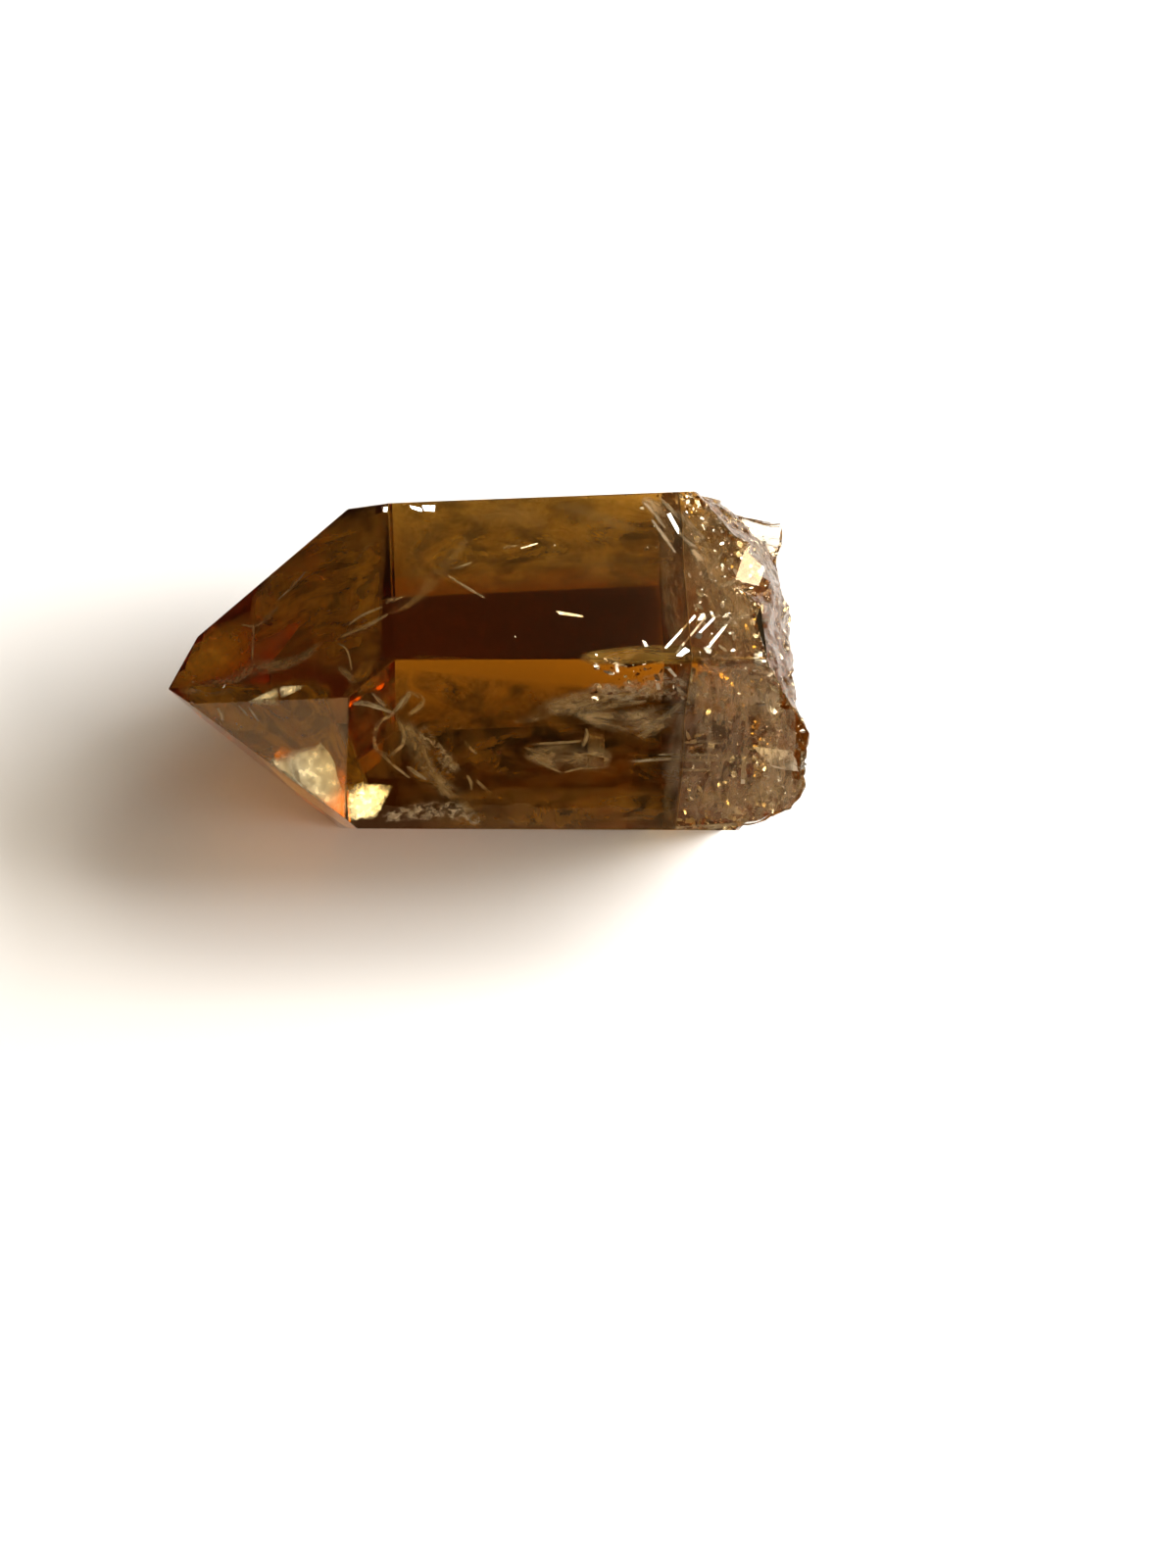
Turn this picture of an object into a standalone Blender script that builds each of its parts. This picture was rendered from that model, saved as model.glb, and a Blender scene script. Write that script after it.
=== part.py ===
"""A single quartz crystal point, lying on one of its six side faces.

The crystal grew as one piece, so the model is one closed solid: a block cut along its natural
faces, with the rough break where it came away from its cluster and a few small chips.

Axes: the crystal's long axis runs along X with the tip towards -X, +Z is up, and the origin is
on the table under the middle of the crystal.
"""
import bpy
import bmesh
from math import cos, radians, sin
from mathutils import Matrix, Vector, noise

MM = 0.001

# Driving dimensions, in millimetres and degrees. Each natural face is given by its turn about
# the long axis (0 is straight up, positive towards -Y), its lean towards the tip, and its
# distance from the crystal's centre, which lies AXIS_HEIGHT above the table.
AXIS_HEIGHT = 15.6
PRISM_FACES = {
    "top": (2.3, 0.7, 17.6),
    "near_upper": (60.2, 1.6, 16.4),
    "near_lower": (119.7, 2.1, 14.7),
    "rest": (180.0, 0.0, AXIS_HEIGHT),
    "far_lower": (239.6, 1.4, 18.0),
    "far_upper": (300.2, 1.8, 16.3),
}
TIP_FACES = {
    "tip_top": (0.5, 39.0, 18.3),
    "tip_near_upper": (59.5, 39.7, 20.0),
    "tip_near_lower": (119.3, 39.5, 18.0),
    "tip_rest": (180.0, 38.3, 18.5),
    "tip_far_lower": (238.4, 40.1, 16.9),
    "tip_far_upper": (299.9, 38.5, 19.1),
}
BLOCK_SIZE = 120.0  # the block that the faces are cut from

# The break at the root. Each facet limits how far the crystal reaches along X:
# the reach at the point (y, z), and how the reach changes with y and with z.
BREAK_FACETS = {
    "end": (33.4, (0.0, 0.0), 0.035, -0.05),
    "top_bevel": (28.6, (-6.0, 18.0), 0.0, -0.56),
    "far_bevel": (29.2, (2.2, 18.0), -0.75, -1.05),
    "near_corner": (26.7, (-18.9, 1.3), 3.2, 1.6),
    "near_end": (31.7, (-18.9, 1.3), 0.5, 0.25),
    "under_bevel": (30.6, (0.0, -15.6), 0.1, 0.7),
}
# A wide hollow, under the lip on the far side: centre (y, z), radius and depth.
HOLLOW_CENTRE = (15.0, -1.5)
HOLLOW_RADIUS = 12.0
HOLLOW_DEPTH = 6.5
# The lip that juts out over the hollow: a thin flake, level apart from a slight fall.
LIP_REACH = 34.0
LIP_HEIGHT = 7.6
LIP_HALF_THICKNESS = 1.25
LIP_FALL = 0.12  # per millimetre, towards the far side
LIP_ROUNDING = 1.5
LIP_INNER_Y = 4.5
LIP_CORNER_Y = 12.6
LIP_CORNER_WIDTH = 1.0
LIP_SIDE_SLOPE = 3.3
LIP_END_SLOPE = 0.28
# A flat chip in the rim of the top face, sloping down and out past it.
NOTCH_REACH = 26.1
NOTCH_CENTRE_Y = 0.3
NOTCH_HALF_WIDTH = 2.0
NOTCH_SIDE_SLOPE = 1.6
NOTCH_OUT_SLOPE = 2.2
NOTCH_TURN_SLOPE = 0.5
# Shell-shaped scoops all over the break: their size, depth and a shift that picks the pattern.
SCOOPS = ((9.5, 1.5, 2.6), (5.1, 0.9, 0.4), (2.2, 0.4, 7.1))
SCOOP_STEEPNESS = 1.6
BREAK_STEP = 1.05  # spacing of the points on the break
BREAK_SPAN = 44.0  # wider and higher than the crystal
CUTTER_OVERRUN = 1.0  # how far the break's cutter runs past the block

# Small chips on the edges: centre, the three radii, and the seed of their rough surface.
CHIPS = {
    "ridge_chip": ((14.2, -10.7, 19.1), (5.6, 2.8, 2.5), 3),
    "ridge_nick": ((9.6, -9.6, 18.0), (1.3, 0.8, 0.8), 5),
    "far_edge_nick": ((-4.4, 8.9, 18.6), (1.9, 1.0, 1.0), 8),
    "far_corner_nick": ((22.0, 9.9, 19.1), (1.8, 1.4, 1.2), 11),
    "tip_nick": ((-26.3, -4.2, 2.9), (0.9, 0.7, 0.8), 13),
    "low_edge_nick": ((21.5, -18.6, 0.6), (2.0, 0.7, 0.8), 17),
}
CHIP_ROUGHNESS = 0.12  # of a chip's radius
CHIP_BUMPS = 2.0  # bumps across a chip's radius
CHIP_SUBDIVISIONS = 3

QUARTZ_COLOUR = (0.42, 0.22, 0.05, 1.0)
QUARTZ_ROUGHNESS = 0.05
QUARTZ_IOR = 1.55

WELD_DISTANCE = 0.002


def clear_scene():
    for obj in list(bpy.data.objects):
        bpy.data.objects.remove(obj, do_unlink=True)


def face_normal(turn, lean):
    """The outward direction of a natural face."""
    a, b = radians(turn), radians(lean)
    return Vector((-sin(b), -sin(a) * cos(b), cos(a) * cos(b)))


def natural_crystal():
    """A block cut along the six prism faces and the six faces of the tip."""
    bm = bmesh.new()
    bmesh.ops.create_cube(bm, size=BLOCK_SIZE)
    for turn, lean, distance in [*PRISM_FACES.values(), *TIP_FACES.values()]:
        normal = face_normal(turn, lean)
        cut = bmesh.ops.bisect_plane(
            bm, geom=bm.verts[:] + bm.edges[:] + bm.faces[:],
            plane_co=normal * distance, plane_no=normal, clear_outer=True)
        rim = [item for item in cut["geom_cut"] if isinstance(item, bmesh.types.BMEdge)]
        if rim:
            bmesh.ops.contextual_create(bm, geom=rim)
    bmesh.ops.recalc_face_normals(bm, faces=bm.faces)
    return bm


def scoops(y, z):
    """Shallow shell-shaped hollows that meet in sharp ridges."""
    depth = 0.0
    for size, deepest, shift in SCOOPS:
        distances, _ = noise.voronoi(Vector((y / size, z / size, shift)))
        depth += deepest * (1.0 - min(1.0, SCOOP_STEEPNESS * distances[0] ** 2))
    return depth


def lip_reach(y, z):
    """How far the thin lip on the far side reaches, or nothing away from it."""
    middle = LIP_HEIGHT + LIP_FALL * (LIP_CORNER_Y - y)
    off_middle = abs(z - middle) / LIP_HALF_THICKNESS
    if off_middle > 1.0 or y < LIP_INNER_Y:
        return 0.0
    side = LIP_SIDE_SLOPE * max(0.0, y - LIP_CORNER_Y)
    end = LIP_END_SLOPE * max(0.0, LIP_CORNER_Y - LIP_CORNER_WIDTH - y)
    return LIP_REACH - side - end - LIP_ROUNDING * off_middle ** 2


def break_reach(y, z):
    """How far the crystal reaches along X at the point (y, z)."""
    reach = min(far + by_y * (y - at[0]) + by_z * (z - at[1])
                for far, at, by_y, by_z in BREAK_FACETS.values())
    from_hollow = Vector((y, z)) - Vector(HOLLOW_CENTRE)
    reach -= HOLLOW_DEPTH * max(0.0, 1.0 - (from_hollow.length / HOLLOW_RADIUS) ** 2)
    reach -= scoops(y, z)
    beside_notch = max(0.0, abs(y - NOTCH_CENTRE_Y) - NOTCH_HALF_WIDTH)
    notch = (NOTCH_REACH + NOTCH_OUT_SLOPE * (PRISM_FACES["top"][2] - z)
             + NOTCH_TURN_SLOPE * (y - NOTCH_CENTRE_Y) + NOTCH_SIDE_SLOPE * beside_notch)
    return max(min(reach, notch), lip_reach(y, z))


def add_object(name, bm):
    """Put a bmesh in millimetres into the scene, in metres."""
    bmesh.ops.scale(bm, vec=(MM, MM, MM), verts=bm.verts)
    mesh = bpy.data.meshes.new(name)
    bm.to_mesh(mesh)
    bm.free()
    obj = bpy.data.objects.new(name, mesh)
    bpy.context.collection.objects.link(obj)
    return obj


def mark_cutter(obj):
    obj.hide_render = True
    obj.display_type = 'WIRE'
    return obj


def break_cutter():
    """Everything past the break: a rough sheet across the root, drawn out along X."""
    steps = round(BREAK_SPAN / BREAK_STEP)
    bm = bmesh.new()
    bmesh.ops.create_grid(bm, x_segments=steps, y_segments=steps, size=BREAK_SPAN / 2)
    bmesh.ops.rotate(bm, verts=bm.verts, matrix=Matrix.Rotation(radians(90), 3, 'Y'))
    for vert in bm.verts:
        vert.co.x = break_reach(vert.co.y, vert.co.z)
    sheet = bm.faces[:]
    outer = bmesh.ops.extrude_face_region(bm, geom=sheet)["geom"]
    for vert in [item for item in outer if isinstance(item, bmesh.types.BMVert)]:
        vert.co.x = BLOCK_SIZE / 2 + CUTTER_OVERRUN
    far_side = [item for item in outer if isinstance(item, bmesh.types.BMFace)]
    bmesh.ops.dissolve_faces(bm, faces=far_side)
    bmesh.ops.recalc_face_normals(bm, faces=bm.faces)
    return mark_cutter(add_object("break_cutter", bm))


def chip_cutter(name, centre, radii, seed):
    """A rough ellipsoid that bites a chip out of an edge."""
    bm = bmesh.new()
    bmesh.ops.create_icosphere(bm, subdivisions=CHIP_SUBDIVISIONS, radius=1.0)
    for vert in bm.verts:
        bump = noise.noise(vert.co * CHIP_BUMPS + Vector((seed, 0.0, 0.0)))
        vert.co *= 1.0 + CHIP_ROUGHNESS * bump
    bmesh.ops.scale(bm, vec=radii, verts=bm.verts)
    bmesh.ops.translate(bm, vec=centre, verts=bm.verts)
    return mark_cutter(add_object(name, bm))


def cut_away(obj, cutter):
    boolean = obj.modifiers.new(cutter.name, 'BOOLEAN')
    boolean.operation = 'DIFFERENCE'
    boolean.solver = 'EXACT'
    boolean.object = cutter


def quartz_material():
    """Clear smoky-yellow quartz."""
    material = bpy.data.materials.new("citrine")
    material.use_nodes = True
    shader = material.node_tree.nodes["Principled BSDF"]
    shader.inputs["Base Color"].default_value = QUARTZ_COLOUR
    shader.inputs["Roughness"].default_value = QUARTZ_ROUGHNESS
    shader.inputs["Metallic"].default_value = 0.0
    shader.inputs["IOR"].default_value = QUARTZ_IOR
    shader.inputs["Transmission Weight"].default_value = 1.0
    material.diffuse_color = QUARTZ_COLOUR
    return material


def rest_on_table(obj):
    """Apply the cuts, then stand the crystal on the table with its middle over the origin."""
    evaluated = obj.evaluated_get(bpy.context.evaluated_depsgraph_get())
    bm = bmesh.new()
    bm.from_mesh(evaluated.to_mesh())
    bmesh.ops.remove_doubles(bm, verts=bm.verts, dist=WELD_DISTANCE * MM)
    low = Vector(min(v.co[i] for v in bm.verts) for i in range(3))
    high = Vector(max(v.co[i] for v in bm.verts) for i in range(3))
    middle = (low + high) / 2
    bmesh.ops.translate(bm, vec=(-middle.x, -middle.y, -low.z), verts=bm.verts)
    obj.modifiers.clear()
    bm.to_mesh(obj.data)
    bm.free()


def main():
    clear_scene()
    crystal = add_object("crystal_point", natural_crystal())
    crystal.data.materials.append(quartz_material())
    cut_away(crystal, break_cutter())
    for name, (centre, radii, seed) in CHIPS.items():
        cut_away(crystal, chip_cutter(name, centre, radii, seed))
    rest_on_table(crystal)


main()
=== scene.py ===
import random
from math import radians, sin, cos, sqrt, tau

import bpy
import bmesh
from mathutils import Matrix, Vector, noise
from mathutils.bvhtree import BVHTree


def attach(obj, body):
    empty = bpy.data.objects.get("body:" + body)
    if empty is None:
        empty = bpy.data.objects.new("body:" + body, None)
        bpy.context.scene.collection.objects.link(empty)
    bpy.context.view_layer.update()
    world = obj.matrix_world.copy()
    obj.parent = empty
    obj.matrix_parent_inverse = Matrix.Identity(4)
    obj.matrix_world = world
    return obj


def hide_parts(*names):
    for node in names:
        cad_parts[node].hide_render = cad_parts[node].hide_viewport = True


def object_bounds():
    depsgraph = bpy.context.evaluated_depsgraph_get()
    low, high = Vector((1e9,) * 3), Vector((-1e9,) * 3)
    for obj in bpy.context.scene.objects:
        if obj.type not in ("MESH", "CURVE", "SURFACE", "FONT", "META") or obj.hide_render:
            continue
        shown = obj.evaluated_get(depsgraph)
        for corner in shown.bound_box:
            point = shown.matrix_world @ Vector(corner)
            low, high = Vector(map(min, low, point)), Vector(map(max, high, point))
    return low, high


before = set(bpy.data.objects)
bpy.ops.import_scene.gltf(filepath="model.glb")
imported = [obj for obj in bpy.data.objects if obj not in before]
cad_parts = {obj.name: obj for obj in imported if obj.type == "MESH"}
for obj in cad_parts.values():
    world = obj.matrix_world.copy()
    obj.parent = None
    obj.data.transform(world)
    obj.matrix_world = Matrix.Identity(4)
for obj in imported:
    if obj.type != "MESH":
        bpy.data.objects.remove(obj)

mm = 0.001
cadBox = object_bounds()
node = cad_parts["crystal_point"]
scene = bpy.context.scene

view = {
    "aim": (8.9, -13.3, 15.6),  # mm, what the lens axis passes through
    "distance": 228.0,          # mm
    "fromPointSide": 19.9,      # degrees round towards the crystal's point
    "above": 58.1,              # degrees above the table
    "roll": 15.4,               # degrees
    "lens": 54.0,               # mm
    "sensor": 36.0,             # mm, along the longer side
    "image": (1200, 1600),      # pixels
    "nearest": 5.0,             # mm, where the view begins
}


def addCamera():
    data = bpy.data.cameras.new("camera")
    data.lens = view["lens"]
    data.sensor_width = view["sensor"]
    data.clip_start = view["nearest"] * mm
    camera = bpy.data.objects.new("camera", data)
    scene.collection.objects.link(camera)
    turn = Matrix.Rotation(-radians(view["fromPointSide"]), 4, 'Z')
    tip = Matrix.Rotation(radians(90 - view["above"]), 4, 'X')
    roll = Matrix.Rotation(radians(view["roll"]), 4, 'Z')
    pose = turn @ tip @ roll
    back = pose.col[2].xyz
    pose.translation = (Vector(view["aim"]) + back * view["distance"]) * mm
    camera.matrix_world = pose
    scene.camera = camera
    print("camera: placed")
    return camera


def lineOfSight(x, y, camera):
    # where a line through a pixel starts, in mm, its direction, and the slope of a pixel
    wide, tall = view["image"]
    slope = view["sensor"] / view["lens"] / max(wide, tall)
    ray = Vector(((x - wide / 2) * slope, (tall / 2 - y) * slope, -1.0)).normalized()
    return camera.matrix_world.translation / mm, camera.matrix_world.to_3x3() @ ray, slope


light = {
    # lamps: turn and height in degrees, distance and size in metres, power in watts
    "window": {"turn": 9.0, "height": 33.0, "distance": 0.9, "size": (0.62, 0.44), "power": 15.5,
               "colour": (1.0, 1.0, 1.0)},
    "side": {"turn": -25.0, "height": 32.0, "distance": 0.9, "size": (0.5, 0.5), "power": 3.8,
             "colour": (1.0, 0.88, 0.74)},
    "front": {"turn": -75.0, "height": 40.0, "distance": 0.9, "size": (0.5, 0.4), "power": 1.2,
              "colour": (1.0, 0.88, 0.72)},
    # the room's own light, and its glows: a direction, a narrowness and a colour each
    "room": (0.035, 0.03, 0.025),
    "glows": {
        "windowGlow": {"turn": 10.0, "height": 30.0, "narrow": 6.0, "colour": (1.12, 0.88, 0.66)},
        "brightSpot": {"turn": 35.0, "height": 51.0, "narrow": 60.0, "colour": (9.0, 8.6, 7.6)},
        "warmFill": {"turn": -150.0, "height": 50.0, "narrow": 2.0, "colour": (0.08, 0.06, 0.04)},
    },
}


def direction(turn, height):
    turn, height = radians(turn), radians(height)
    return Vector((cos(height) * cos(turn), cos(height) * sin(turn), sin(height)))


def addLamp(name, lamp):
    data = bpy.data.lights.new(name, 'AREA')
    data.shape = 'RECTANGLE'
    data.size, data.size_y = lamp["size"]
    data.energy = lamp["power"]
    data.color = lamp["colour"]
    shade = bpy.data.objects.new(name, data)
    toLamp = direction(lamp["turn"], lamp["height"])
    shade.location = toLamp * lamp["distance"]
    shade.rotation_euler = toLamp.to_track_quat('Z', 'Y').to_euler()
    scene.collection.objects.link(shade)


def feed(links, socket, value):
    # a socket takes a link or a plain value
    if isinstance(value, bpy.types.NodeSocket):
        links.new(value, socket)
    elif value is not None:
        socket.default_value = value


def mathNode(nodes, links, operation, first, second=None):
    sums = nodes.new("ShaderNodeMath")
    sums.operation = operation
    feed(links, sums.inputs[0], first)
    feed(links, sums.inputs[1], second)
    return sums.outputs["Value"]


def vectorMath(nodes, links, operation, first, second=None, scale=None):
    sums = nodes.new("ShaderNodeVectorMath")
    sums.operation = operation
    feed(links, sums.inputs[0], first)
    feed(links, sums.inputs[1], second)
    feed(links, sums.inputs[3], scale)  # found by number, because its name shows for 'SCALE' only
    return sums.outputs["Value"] if operation == 'DOT_PRODUCT' else sums.outputs["Vector"]


def addLights():
    for name in ("window", "side", "front"):
        addLamp(name + "Lamp", light[name])
    world = bpy.data.worlds.new("softRoom")
    world.use_nodes = True
    nodes, links = world.node_tree.nodes, world.node_tree.links
    place = nodes.new("ShaderNodeTexCoord").outputs["Generated"]
    total = None
    for glow in light["glows"].values():
        towards = vectorMath(nodes, links, 'DOT_PRODUCT', place, direction(glow["turn"], glow["height"]))
        towards = mathNode(nodes, links, 'MAXIMUM', towards, 0.0)
        fall = mathNode(nodes, links, 'POWER', towards, glow["narrow"])
        part = vectorMath(nodes, links, 'SCALE', glow["colour"], scale=fall)
        total = vectorMath(nodes, links, 'ADD', part, total or light["room"])
    links.new(total, nodes["Background"].inputs["Color"])
    nodes["Background"].inputs["Strength"].default_value = 1.0
    scene.world = world
    print("lights: three lamps and", len(light["glows"]), "glows")


def newMaterial(name):
    material = bpy.data.materials.new(name)
    material.use_nodes = True
    tree = material.node_tree
    return material, tree.nodes, tree.links, tree.nodes["Principled BSDF"]


floorLook = {
    "size": 3.0,     # metres from the middle to an edge
    "below": 0.05,   # mm under the crystal
    "colour": (0.86, 0.85, 0.83, 1.0),
    "roughness": 0.9,
    "gloss": 0.1,
}


def addFloor():
    bm = bmesh.new()
    bmesh.ops.create_grid(bm, x_segments=1, y_segments=1, size=floorLook["size"])
    bmesh.ops.translate(bm, vec=(0, 0, -floorLook["below"] * mm), verts=bm.verts)
    mesh = bpy.data.meshes.new("floor")
    bm.to_mesh(mesh)
    bm.free()
    floor = bpy.data.objects.new("floor", mesh)
    scene.collection.objects.link(floor)
    material, _, _, shader = newMaterial("paleFloor")
    shader.inputs["Base Color"].default_value = floorLook["colour"]
    shader.inputs["Roughness"].default_value = floorLook["roughness"]
    shader.inputs["Specular IOR Level"].default_value = floorLook["gloss"]
    mesh.materials.append(material)
    print("floor: laid")


quartz = {
    "ior": 1.55,
    "shine": (1.0, 0.68, 0.32, 1.0),    # the colour of its reflections
    "passes": (0.79, 0.585, 0.0, 1.0),  # the absorption's colour
    "density": 160.0,                   # per metre
    # the natural faces' soft waves: bump strength, size and depth in mm
    "waves": {"strength": 0.05, "size": 7.0, "detail": 2.0, "depth": 0.2},
    # the same for the break, and how rough it is
    "grit": {"strength": 0.35, "size": 0.5, "detail": 5.0, "depth": 0.1, "roughness": 0.09},
}


def attributeNode(nodes, name):
    reader = nodes.new("ShaderNodeAttribute")
    reader.attribute_name = name
    return reader.outputs


def grainNode(nodes, links, form):
    place = nodes.new("ShaderNodeTexCoord").outputs["Object"]
    grain = nodes.new("ShaderNodeTexNoise")
    grain.inputs["Scale"].default_value = 1 / (form["size"] * mm)
    grain.inputs["Detail"].default_value = form["detail"]
    links.new(place, grain.inputs["Vector"])
    return grain.outputs["Fac"]


def bumpNode(nodes, links, height, depth, strength, normal=None):
    bump = nodes.new("ShaderNodeBump")
    bump.inputs["Distance"].default_value = depth * mm
    feed(links, bump.inputs["Strength"], strength)
    feed(links, bump.inputs["Height"], height)
    feed(links, bump.inputs["Normal"], normal)
    return bump.outputs["Normal"]


def quartzMaterial():
    material, nodes, links, shader = newMaterial("citrine")
    shader.inputs["Base Color"].default_value = (1, 1, 1, 1)
    shader.inputs["IOR"].default_value = quartz["ior"]
    shader.inputs["Transmission Weight"].default_value = 1.0
    shader.inputs["Specular Tint"].default_value = quartz["shine"]
    volume = nodes.new("ShaderNodeVolumeAbsorption")
    volume.inputs["Color"].default_value = quartz["passes"]
    volume.inputs["Density"].default_value = quartz["density"]
    links.new(volume.outputs["Volume"], nodes["Material Output"].inputs["Volume"])
    broken = attributeNode(nodes, "broken")["Fac"]
    waves, grit = quartz["waves"], quartz["grit"]
    wavy = bumpNode(nodes, links, grainNode(nodes, links, waves), waves["depth"], waves["strength"])
    strength = mathNode(nodes, links, 'MULTIPLY', broken, grit["strength"])
    gritty = bumpNode(nodes, links, grainNode(nodes, links, grit), grit["depth"], strength, wavy)
    links.new(gritty, shader.inputs["Normal"])
    links.new(mathNode(nodes, links, 'MULTIPLY', broken, grit["roughness"]), shader.inputs["Roughness"])
    return material


crystal = {
    "weld": 0.001,        # mm, corners closer than this are one
    "flat": 0.3,          # degrees, what still counts as one face
    "naturalFace": 9.0,   # mm2, the facets of the break are all smaller
    "edgeWear": 0.07,     # mm, how wide the natural edges are worn
    "cuts": 3,            # how finely the break is divided
    # shell-shaped bites out of the break: size and depth in mm, and a shift of the pattern
    "bites": ((3.4, 0.42, 1.7), (1.5, 0.24, 5.2), (0.75, 0.10, 8.8)),
    "biteRise": 1.6,      # how soon a bite rises to its rim
    "sharpFrom": 26.0,    # degrees between facets
    "chipsUpTo": 20.5,    # mm along the crystal, where the chips end and the break begins
    "chipBite": 0.15,     # how deep the bites are in the chips
    "thin": 5.0,          # mm, stone thinner than this is bitten less
    "under": 0.01,        # mm below the skin, where the stone's thickness is measured from
    "smooth": {"pixel": (768, 580), "reach": 2.7, "grit": 0.10},    # a fresh facet, reach in mm
}


def biteDepth(vert, skin):
    # how far a place on the break is bitten in, in mm; less where the stone is thin
    place = vert.co / mm
    beyond = skin.ray_cast(vert.co - vert.normal * crystal["under"] * mm, -vert.normal)[3]
    share = min(1.0, beyond / mm / crystal["thin"]) if beyond else 0.0
    if place.x < crystal["chipsUpTo"]:
        share *= crystal["chipBite"]
    depth = 0.0
    for size, deepest, shift in crystal["bites"]:
        away = noise.voronoi(place / size + Vector((shift, shift, shift)))[0][0]
        depth += deepest * (1 - min(1.0, crystal["biteRise"] * away ** 2))
    return depth * share


def slideAlong(move, faces):
    # keeps a vertex on the natural faces it lies on
    if len(faces) > 1:
        edge = faces[0].normal.cross(faces[1].normal).normalized()
        return edge * edge.dot(move)
    for face in faces:
        move = move - face.normal * face.normal.dot(move)
    return move


def repacked(bm):
    # the same shape with no gaps left by deleted faces, so that every run numbers new ones alike
    mesh = bpy.data.meshes.new("packed")
    bm.to_mesh(mesh)
    bm.clear()
    bm.from_mesh(mesh)
    bpy.data.meshes.remove(mesh)
    return bm


def wholeFaces():
    bm = bmesh.new()
    bm.from_mesh(node.data)
    bmesh.ops.remove_doubles(bm, verts=bm.verts, dist=crystal["weld"] * mm)
    bmesh.ops.dissolve_limit(bm, angle_limit=radians(crystal["flat"]), verts=bm.verts, edges=bm.edges)
    return repacked(bm)


def divideBreak(bm):
    # wears the natural edges, cuts the break finely and gives the natural faces back
    smallest = crystal["naturalFace"] * mm * mm
    natural = [face for face in bm.faces if face.calc_area() > smallest]
    wornEdges = [edge for edge in bm.edges if all(face in natural for face in edge.link_faces)]
    worn = bmesh.ops.bevel(bm, geom=wornEdges, affect='EDGES', offset=crystal["edgeWear"] * mm,
                           segments=1, profile=0.5, material=-1, clamp_overlap=False)
    for face in bm.faces:
        face.smooth = face in worn["faces"] or face.calc_area() > smallest  # marks the natural ones
    repacked(bm)
    natural = {face for face in bm.faces if face.smooth}
    bmesh.ops.triangulate(bm, faces=[face for face in bm.faces if face not in natural])
    breakEdges = [edge for edge in bm.edges if any(face not in natural for face in edge.link_faces)]
    bmesh.ops.subdivide_edges(bm, edges=breakEdges, cuts=crystal["cuts"], use_grid_fill=True)
    return {face for face in bm.faces if face in natural}


def biteBreak(bm, natural, freshSpot):
    fresh = crystal["smooth"]
    broken = bm.verts.layers.float.new("broken")
    bm.normal_update()
    skin = BVHTree.FromBMesh(bm)
    moves = []
    for vert in bm.verts:
        held = [face for face in vert.link_faces if face in natural]
        if len(held) == len(vert.link_faces):
            continue
        onFresh = (vert.co - freshSpot).length < fresh["reach"] * mm
        if not onFresh:
            move = -vert.normal * biteDepth(vert, skin) * mm
            moves.append((vert, slideAlong(move, held)))
        vert[broken] = 0.0 if held else fresh["grit"] if onFresh else 1.0
    for vert, move in moves:
        vert.co += move
        vert.co = Vector([min(max(part, low), high) for part, low, high in zip(vert.co, *cadBox)])
    bm.normal_update()


def makeCrystal(camera):
    bm = wholeFaces()
    eye, ray, _ = lineOfSight(*crystal["smooth"]["pixel"], camera)
    freshSpot = BVHTree.FromBMesh(bm).ray_cast(eye * mm, ray)[0]
    natural = divideBreak(bm)
    biteBreak(bm, natural, freshSpot)
    for face in bm.faces:
        face.smooth = True
    for edge in bm.edges:
        flat = any(face in natural for face in edge.link_faces)
        edge.smooth = not flat and edge.calc_face_angle(0) < radians(crystal["sharpFrom"])
    shell = BVHTree.FromBMesh(bm)
    piece = addPiece("citrineCrystal", bm, quartzMaterial())
    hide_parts("crystal_point")
    print("crystal: break and faces made")
    return shell


def addPiece(name, bm, material):
    mesh = bpy.data.meshes.new(name)
    bm.to_mesh(mesh)
    bm.free()
    mesh.materials.append(material)
    piece = bpy.data.objects.new(name, mesh)
    scene.collection.objects.link(piece)
    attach(piece, "root")
    return piece


# the faces that show, by the direction that each looks in
growthFaces = {"top": (0, 0, 1), "front": (0, -0.87, 0.5), "tipTop": (-0.63, 0, 0.78),
               "tipFront": (-0.64, -0.66, 0.39)}


def faceMatch(face, towards):
    # how well a face looks in a direction; slivers count less
    return face.normal.dot(Vector(towards)) * min(1, face.calc_area() / mm / mm)


def findFaces():
    bm = wholeFaces()
    found = {}
    for name, towards in growthFaces.items():
        best = max(bm.faces, key=lambda face: faceMatch(face, towards))
        found[name] = (best.verts[0].co / mm, best.normal.copy())
    bm.free()
    return found


def bent(ray, normal):
    # how a ray turns as it enters the crystal
    steep = -normal.dot(ray)
    inner = sqrt(1 - (1 - steep ** 2) / quartz["ior"] ** 2)
    return ray / quartz["ior"] + normal * (steep / quartz["ior"] - inner)


def lookIn(x, y, camera, faces):
    # where the line of sight through a pixel enters the crystal, and its direction inside, in mm
    eye, ray, slope = lineOfSight(x, y, camera)
    entries = [((point - eye).dot(normal) / ray.dot(normal), normal)
               for point, normal in faces.values() if ray.dot(normal) < 0]
    away, normal = max(entries, key=lambda entry: entry[0])
    return eye + ray * away, bent(ray, normal), away * slope


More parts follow.
